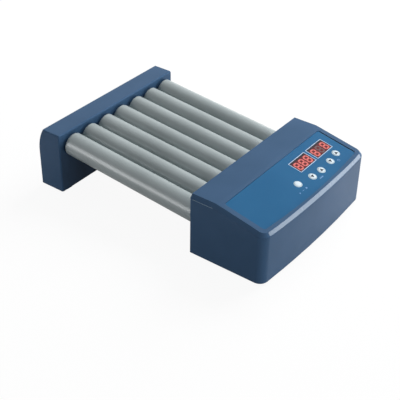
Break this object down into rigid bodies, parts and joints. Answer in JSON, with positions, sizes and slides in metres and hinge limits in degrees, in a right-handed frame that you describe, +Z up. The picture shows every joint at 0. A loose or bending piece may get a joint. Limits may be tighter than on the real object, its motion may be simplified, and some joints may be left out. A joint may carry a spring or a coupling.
{
  "type": "tube roller mixer",
  "caption": "Bench-top tube mixer: parallel rollers on offset spindles between a sloping control housing and a rear housing roll and rock sample tubes.",
  "frame": {"origin": "middle of the footprint on the bench, under the feet", "axes": "+X across the rollers to the right as seen from the controls, +Y along the rollers away from the controls, +Z up"},
  "size_m": [0.26, 0.401, 0.099],
  "materials": {
    "housing": "satin slate blue",
    "base_plate": "dark powder coat",
    "panel": "smooth blue printed sheet",
    "window": "dark red tint",
    "display": "black",
    "board": "green",
    "switch": "black",
    "key": "white satin",
    "black_plastic": "black satin",
    "roller": "satin grey",
    "spindle": "turned",
    "gear": "natural acetal",
    "zinc_steel": "zinc plated",
    "motor": "plated",
    "foot": "matt"
  },
  "bodies": {
    "base": {"control_base_plate": "base_plate", "control_board": "board", "control_housing": "housing", "display_left": "display", "display_right": "display", "display_windows": "window", "feet": "foot", "gear_motor": "motor", "idler_rail": "zinc_steel", "key_switches": "switch", "motor_bracket": "zinc_steel", "panel_overlay": "panel", "power_socket": "black_plastic", "power_switch_frame": "black_plastic", "rear_base_plate": "base_plate", "rear_housing": "housing", "tie_rod_left": "spindle", "tie_rod_right": "spindle", "top_cover": "housing"},
    "roller_1": {"roller_body_1": "roller", "roller_spindles_1": "spindle"},
    "roller_2": {"roller_body_2": "roller", "roller_spindles_2": "spindle"},
    "roller_3": {"roller_body_3": "roller", "roller_spindles_3": "spindle"},
    "roller_4": {"roller_body_4": "roller", "roller_spindles_4": "spindle"},
    "roller_5": {"roller_body_5": "roller", "roller_spindles_5": "spindle"},
    "roller_6": {"roller_body_6": "roller", "roller_spindles_6": "spindle"},
    "roller_7": {"roller_body_7": "roller", "roller_spindles_7": "spindle"},
    "idler_1": {"idler_gear_1": "gear"},
    "idler_2": {"idler_gear_2": "gear"},
    "idler_3": {"idler_gear_3": "gear"},
    "idler_4": {"idler_gear_4": "gear"},
    "idler_5": {"idler_gear_5": "gear"},
    "idler_6": {"idler_gear_6": "gear"},
    "pinion": {"motor_pinion": "gear"},
    "key_start_body": {"key_start": "key"},
    "key_speed_down_body": {"key_speed_down": "key"},
    "key_speed_up_body": {"key_speed_up": "key"},
    "key_time_down_body": {"key_time_down": "key"},
    "key_time_up_body": {"key_time_up": "key"},
    "rocker": {"power_rocker": "black_plastic"}
  },
  "joints": [
    {"name": "roller_1_spin", "type": "hinge", "parent": "base", "child": "roller_1", "pos_m": [-0.105, 0, 0.0665], "axis": [0, 1, 0], "continuous": true},
    {"name": "roller_2_spin", "type": "hinge", "parent": "base", "child": "roller_2", "pos_m": [-0.07, 0, 0.0665], "axis": [0, 1, 0], "continuous": true},
    {"name": "roller_3_spin", "type": "hinge", "parent": "base", "child": "roller_3", "pos_m": [-0.035, 0, 0.0665], "axis": [0, 1, 0], "continuous": true},
    {"name": "roller_4_spin", "type": "hinge", "parent": "base", "child": "roller_4", "pos_m": [0, 0, 0.0665], "axis": [0, 1, 0], "continuous": true},
    {"name": "roller_5_spin", "type": "hinge", "parent": "base", "child": "roller_5", "pos_m": [0.035, 0, 0.0665], "axis": [0, 1, 0], "continuous": true},
    {"name": "roller_6_spin", "type": "hinge", "parent": "base", "child": "roller_6", "pos_m": [0.07, 0, 0.0665], "axis": [0, 1, 0], "continuous": true},
    {"name": "roller_7_spin", "type": "hinge", "parent": "base", "child": "roller_7", "pos_m": [0.105, 0, 0.0665], "axis": [0, 1, 0], "continuous": true},
    {"name": "idler_1_spin", "type": "hinge", "parent": "base", "child": "idler_1", "pos_m": [-0.0875, 0, 0.0781], "axis": [0, 1, 0], "continuous": true},
    {"name": "idler_2_spin", "type": "hinge", "parent": "base", "child": "idler_2", "pos_m": [-0.0525, 0, 0.0781], "axis": [0, 1, 0], "continuous": true},
    {"name": "idler_3_spin", "type": "hinge", "parent": "base", "child": "idler_3", "pos_m": [-0.0175, 0, 0.0781], "axis": [0, 1, 0], "continuous": true},
    {"name": "idler_4_spin", "type": "hinge", "parent": "base", "child": "idler_4", "pos_m": [0.0175, 0, 0.0781], "axis": [0, 1, 0], "continuous": true},
    {"name": "idler_5_spin", "type": "hinge", "parent": "base", "child": "idler_5", "pos_m": [0.0525, 0, 0.0781], "axis": [0, 1, 0], "continuous": true},
    {"name": "idler_6_spin", "type": "hinge", "parent": "base", "child": "idler_6", "pos_m": [0.0875, 0, 0.0781], "axis": [0, 1, 0], "continuous": true},
    {"name": "pinion_spin", "type": "hinge", "parent": "base", "child": "pinion", "pos_m": [0, 0, 0.0455], "axis": [0, 1, 0], "continuous": true},
    {"name": "key_start_press", "type": "slide", "parent": "base", "child": "key_start_body", "axis": [0, 0.1961, -0.9806], "range_m": [0, 0.0005], "stiffness_N_per_m": 2000},
    {"name": "key_speed_down_press", "type": "slide", "parent": "base", "child": "key_speed_down_body", "axis": [0, 0.1961, -0.9806], "range_m": [0, 0.0005], "stiffness_N_per_m": 2000},
    {"name": "key_speed_up_press", "type": "slide", "parent": "base", "child": "key_speed_up_body", "axis": [0, 0.1961, -0.9806], "range_m": [0, 0.0005], "stiffness_N_per_m": 2000},
    {"name": "key_time_down_press", "type": "slide", "parent": "base", "child": "key_time_down_body", "axis": [0, 0.1961, -0.9806], "range_m": [0, 0.0005], "stiffness_N_per_m": 2000},
    {"name": "key_time_up_press", "type": "slide", "parent": "base", "child": "key_time_up_body", "axis": [0, 0.1961, -0.9806], "range_m": [0, 0.0005], "stiffness_N_per_m": 2000},
    {"name": "power_rocker_tilt", "type": "hinge", "parent": "base", "child": "rocker", "pos_m": [0.1253, -0.1275, 0.034], "axis": [0, 0, 1], "range_deg": [0, 18]}
  ],
  "couplings": [
    {"joint": "roller_1_spin", "follows": "roller_4_spin", "ratio": 1},
    {"joint": "roller_2_spin", "follows": "roller_4_spin", "ratio": 1},
    {"joint": "roller_3_spin", "follows": "roller_4_spin", "ratio": 1},
    {"joint": "roller_5_spin", "follows": "roller_4_spin", "ratio": 1},
    {"joint": "roller_6_spin", "follows": "roller_4_spin", "ratio": 1},
    {"joint": "roller_7_spin", "follows": "roller_4_spin", "ratio": 1},
    {"joint": "idler_1_spin", "follows": "roller_4_spin", "ratio": -1.3333},
    {"joint": "idler_2_spin", "follows": "roller_4_spin", "ratio": -1.3333},
    {"joint": "idler_3_spin", "follows": "roller_4_spin", "ratio": -1.3333},
    {"joint": "idler_4_spin", "follows": "roller_4_spin", "ratio": -1.3333},
    {"joint": "idler_5_spin", "follows": "roller_4_spin", "ratio": -1.3333},
    {"joint": "idler_6_spin", "follows": "roller_4_spin", "ratio": -1.3333},
    {"joint": "pinion_spin", "follows": "roller_4_spin", "ratio": -1.3333}
  ]
}
